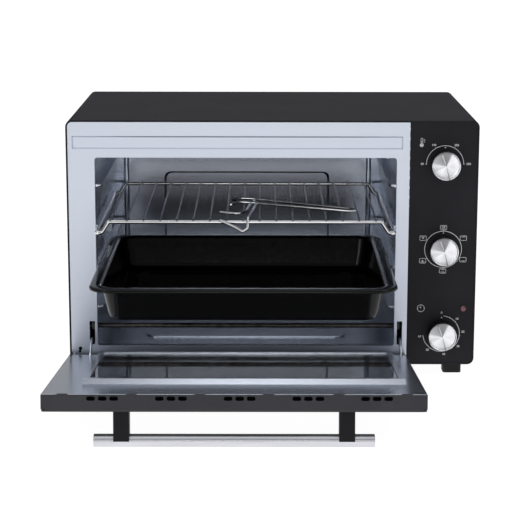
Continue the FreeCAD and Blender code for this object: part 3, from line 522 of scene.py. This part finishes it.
def timer_marks():
    ink = Ink()
    ink.arc(RING_RADIUS, 6, 262)
    for i in range(1, 12):
        ink.ring_tick(24 * i, RING_RADIUS - 0.5, RING_RADIUS + (1.4 if i % 2 == 0 else 0.8), 0.6)
    for text, angle in (("0", 0), ("10", 45), ("20", 85), ("30", 128), ("40", 172), ("50", 218), ("60", 262)):
        turn = math.radians(angle)
        ink.number(text, (RING_RADIUS + 4.8) * math.sin(turn), (RING_RADIUS + 4.3) * math.cos(turn), 3.1)
    clock = (-28.3, 35.3)
    ink.arc(4.8, 0, 360, 0.5, clock)
    ink.stroke([(clock[0] - 2, clock[1] + 2), clock, (clock[0], clock[1] + 3)], 0.5)
    for i in range(4):
        turn = math.pi / 2 * i
        ink.stroke([(clock[0] + r * math.sin(turn), clock[1] + r * math.cos(turn)) for r in (3.7, 4.6)], 0.4)
    pointer_mark(ink)
    return ink


CONTROLS = {"temperature": temperature_marks, "function": function_marks, "timer": timer_marks}
FLUTES, FLUTE_DEPTH = 36, 0.35


def flute(turn):
    """Grip ribs, as the depth that the wall is cut back by."""
    return FLUTE_DEPTH * (0.5 - 0.5 * math.cos(FLUTES * turn))


def knob_profile(radius, depth):
    """A slightly barrelled grip from the panel side, at y 0, to the cap, at y -depth."""
    return [(0, 0), (radius - 2.4, 0), (radius - 1.2, -0.3), (radius - 0.2, -1.4), (radius, -3),
            (radius, -depth + 2.5), (radius - 0.15, -depth + 1.1), (radius - 0.7, -depth + 0.25),
            (radius - 1.3, -depth), (0, -depth)]


def cap_profile(radius, depth):
    """A shallow dished disc inside a bright rolled rim."""
    return [(0, 0), (radius - 0.9, 0), (radius - 0.3, -0.3), (radius, -1.0), (radius - 0.05, -depth + 0.9),
            (radius - 0.35, -depth + 0.25), (radius - 0.9, -depth), (radius - 1.5, -depth + 0.15),
            (radius - 1.7, -depth + 0.9), (radius - 2.3, -depth + 1.1), (radius * 0.5, -depth + 0.9),
            (0, -depth + 0.8)]


# position round a cap, clockwise from the top, and its painted brightness there: fan-shaped highlight and
# shade multiplied into the cap's colour
PAINTED_FAN_SHADES = ((0.0, 0.26), (0.05, 0.30), (0.08, 0.84), (0.16, 0.97), (0.26, 0.90), (0.34, 1.0), (0.41, 0.84),
           (0.445, 0.74), (0.462, 0.30), (0.48, 0.72), (0.56, 0.86), (0.64, 0.97), (0.70, 0.74), (0.76, 0.92),
           (0.80, 0.50), (0.90, 0.36), (0.955, 0.26), (1.0, 0.26))


def spun_metal():
    """Disc turned on a lathe: fine rings in the colour and a radial sheen from the tangent, with fan-shaped
    highlight and shade painted into the colour by angle round the cap.
    """
    made = Finish("spun_aluminium", Metallic=1.0, Anisotropic=0.6)
    split = made.node("SeparateXYZ", {"Vector": made.place})
    out = made.node("VectorMath", {0: made.place}, operation="LENGTH").outputs["Value"]
    ring = made.node("TexNoise", {"W": out, "Scale": 4200.0, "Detail": 2.0},
                     noise_dimensions="1D").outputs[0]
    turn = made.node("Math", operation="ARCTAN2")
    made.feed(split.outputs[0], turn.inputs[0])
    made.feed(split.outputs[2], turn.inputs[1])
    fraction = made.node("MapRange", {"Value": turn.outputs[0], "From Min": -math.pi, "From Max": math.pi})
    clock = made.sum(made.sum(fraction.outputs[0], 0.5), 1.0, "FRACT")
    # painted highlight and shade: a brightness for each angle round the cap, multiplied into its colour below
    painted_fan_ramp = made.node("ValToRGB", {"Fac": clock})
    stops = painted_fan_ramp.color_ramp.elements
    for place, shade in PAINTED_FAN_SHADES[1:-1]:
        stops.new(place)
    for stop, (place, shade) in zip(stops, PAINTED_FAN_SHADES):
        stop.position, stop.color = place, (shade, shade, shade, 1)
    made.tint(made.spread(ring, 0.0, 1.0), (0.86, 0.86, 0.90), (0.98, 0.98, 1.0))
    painted_fan_colour = made.node("Mix", {0: 1.0, 6: made.surface.inputs["Base Color"].links[0].from_socket,
                               7: painted_fan_ramp.outputs[0]}, data_type="RGBA", blend_type="MULTIPLY")
    made.feed(painted_fan_colour.outputs[2], made.surface.inputs["Base Color"])
    made.gloss(ring, 0.22, 0.34)
    made.feed(made.node("Tangent", direction_type="RADIAL", axis="Y").outputs[0],
              made.surface.inputs["Tangent"])
    return made.relief(ring, 0.01, 0.25).material


SPUN = spun_metal()
# the chrome pointer, a real raised bar, gets a white non-metal colour: a painted highlight for its bright
# glint
GLINT_WHITE_POINTER = moulded("pointer_glint_white", (0.86, 0.86, 0.90), (0.94, 0.94, 0.97), 0.35, 900.0)
POINTER_TURN, POINTER_SEAT, POINTER_RISE = math.radians(-22), 1.0 * MM, 0.45
# distance from the cap's middle, and half the bar's width at its foot and at its top
POINTER_ENDS = ((2.0, 0.45, 0.35), (16.6, 1.0, 0.85))


def build_pointer(grid):
    """A raised tapering bar from near the middle of a cap to its rim."""
    for level in (0, 1):
        for reach, *halves in POINTER_ENDS:
            for side in (-halves[level], halves[level]):
                grid.verts.new((side, -POINTER_RISE * level, reach))
    grid.verts.ensure_lookup_table()
    v = grid.verts
    for corners in ((4, 5, 7, 6), (0, 2, 3, 1), (0, 1, 5, 4), (2, 6, 7, 3), (0, 4, 6, 2), (1, 3, 7, 5)):
        grid.faces.new([v[i] for i in corners])
    turn = Matrix.Rotation(POINTER_TURN, 3, "Y")
    bmesh.ops.rotate(grid, cent=(0, 0, 0), matrix=turn, verts=grid.verts)


for control, marks in CONTROLS.items():
    body = f"{control}_control"
    centre = control_centre(control)
    made_from(f"{control}_marks", marks().build, "cabinet", finish=INK.material, origin=centre)
    low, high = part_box(f"{control}_knob")
    radius, depth = (high.x - low.x) / 2 / MM, (high.y - low.y) / MM
    grip = made_from(f"{control}_grip", lambda grid: turned(grid, knob_profile(radius, depth), 288, flute),
                     body, "black_plastic", origin=(centre.x, high.y, centre.z))
    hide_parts(f"{control}_knob")
    low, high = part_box(f"{control}_cap")
    radius, depth = (high.x - low.x) / 2 / MM, (high.y - low.y) / MM
    disc = made_from(f"{control}_disc", lambda grid: turned(grid, cap_profile(radius, depth), 128),
                     body, "brushed_aluminium", SPUN, (centre.x, high.y, centre.z))
    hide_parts(f"{control}_cap")
    made_from(f"{control}_pointer", build_pointer, body, "chrome", GLINT_WHITE_POINTER,
              (centre.x, low.y + POINTER_SEAT, centre.z))


# ---------------------------------------------------------------- pressed tray


def round_ring(half_x, half_y, radius, corner_steps=12, side_steps=10):
    """Points of a rounded rectangle, in order, with the same count at any size."""
    radius = max(radius, 0.5)
    points = []
    for quarter, (sx, sy) in enumerate(((1, 1), (-1, 1), (-1, -1), (1, -1))):
        centre = Vector((sx * (half_x - radius), sy * (half_y - radius)))
        for step in range(corner_steps + 1):
            turn = math.pi / 2 * (quarter + step / corner_steps)
            points.append(centre + radius * Vector((math.cos(turn), math.sin(turn))))
        after = ((-1, 1), (-1, -1), (1, -1), (1, 1))[quarter]
        turn = math.pi / 2 * (quarter + 1)
        goal = Vector((after[0] * (half_x - radius), after[1] * (half_y - radius)))
        goal += radius * Vector((math.cos(turn), math.sin(turn)))
        start = points[-1].copy()
        points += [start.lerp(goal, step / side_steps) for step in range(1, side_steps)]
    return points


TRAY_SHEET = 0.75 * MM
# corner radius at the rim, what each millimetre of inset takes off it, and the least that stays
RIM_CORNER, CORNER_LOSS, LEAST_CORNER = 30.0, 0.55, 9.0
# inset from the rim's outside, and height under the rim's top: lip, rim, wall, then the stepped floor
TRAY_PROFILE = ((0.4, -4.8), (0.05, -4.3), (0.0, -3.4), (0.15, -2.2), (0.7, -1.1), (1.7, -0.4),
                (3.2, -0.1), (6.0, -0.1), (11.4, -0.1), (13.2, -0.35), (14.7, -0.95), (15.8, -1.9),
                (16.6, -3.3), (17.2, -5.2), (24.2, -37.6), (25.1, -40.9), (26.6, -43.4), (28.8, -45.1),
                (31.8, -45.9), (35.0, -46.1), (43.0, -46.1), (45.0, -45.8), (47.0, -45.0), (49.0, -44.7),
                (58.0, -44.7), (60.0, -45.0), (62.0, -45.8), (64.0, -46.1), (84.0, -46.1), (86.0, -45.8),
                (88.0, -45.0), (90.0, -44.7), (110.0, -44.7), (150.0, -44.7))


def build_tray(grid, half_x, half_y):
    """The tray's upper side, ring by ring from its rolled edge to the middle of its floor."""
    rings = []
    for inset, height in TRAY_PROFILE:
        corner = max(RIM_CORNER - CORNER_LOSS * inset, LEAST_CORNER)
        points = round_ring(half_x - inset, half_y - inset, corner)
        rings.append([grid.verts.new((p.x, p.y, height)) for p in points])
    count = len(rings[0])
    for outer, inner in zip(rings, rings[1:]):
        for i in range(count):
            j = (i + 1) % count
            grid.faces.new((outer[i], outer[j], inner[j], inner[i]))
    grid.faces.new(rings[-1])


low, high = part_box("baking_tray")
middle = (low + high) / 2
half_width, half_depth = (high.x - low.x) / 2 / MM, (high.y - low.y) / 2 / MM
tray = made_from("baking_tray_pan", lambda grid: build_tray(grid, half_width, half_depth), "tray",
                 "black_enamel", origin=(middle.x, middle.y, high.z))
wall = tray.modifiers.new("sheet", "SOLIDIFY")
wall.thickness, wall.offset = TRAY_SHEET, -1
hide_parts("baking_tray")

# ---------------------------------------------------------------- stage

floor_mesh = bpy.data.meshes.new("floor")
corners = [(x * FLOOR_HALF, y * FLOOR_HALF, 0) for x, y in ((-1, -1), (1, -1), (1, 1), (-1, 1))]
floor_mesh.from_pydata(corners, [], [(0, 1, 2, 3)])
floor = bpy.data.objects.new("floor", floor_mesh)
scene.collection.objects.link(floor)
stage = Finish("light_table", Specular_IOR_Level=0.1, Emission_Color=(1, 1, 1, 1), Emission_Strength=0.97)
paper = stage.noise(300.0)
stage.tint(stage.spread(paper, 0, 1), (0.20, 0.20, 0.20), (0.22, 0.22, 0.22)).gloss(paper, 0.75, 0.85)
floor_mesh.materials.append(stage.material)
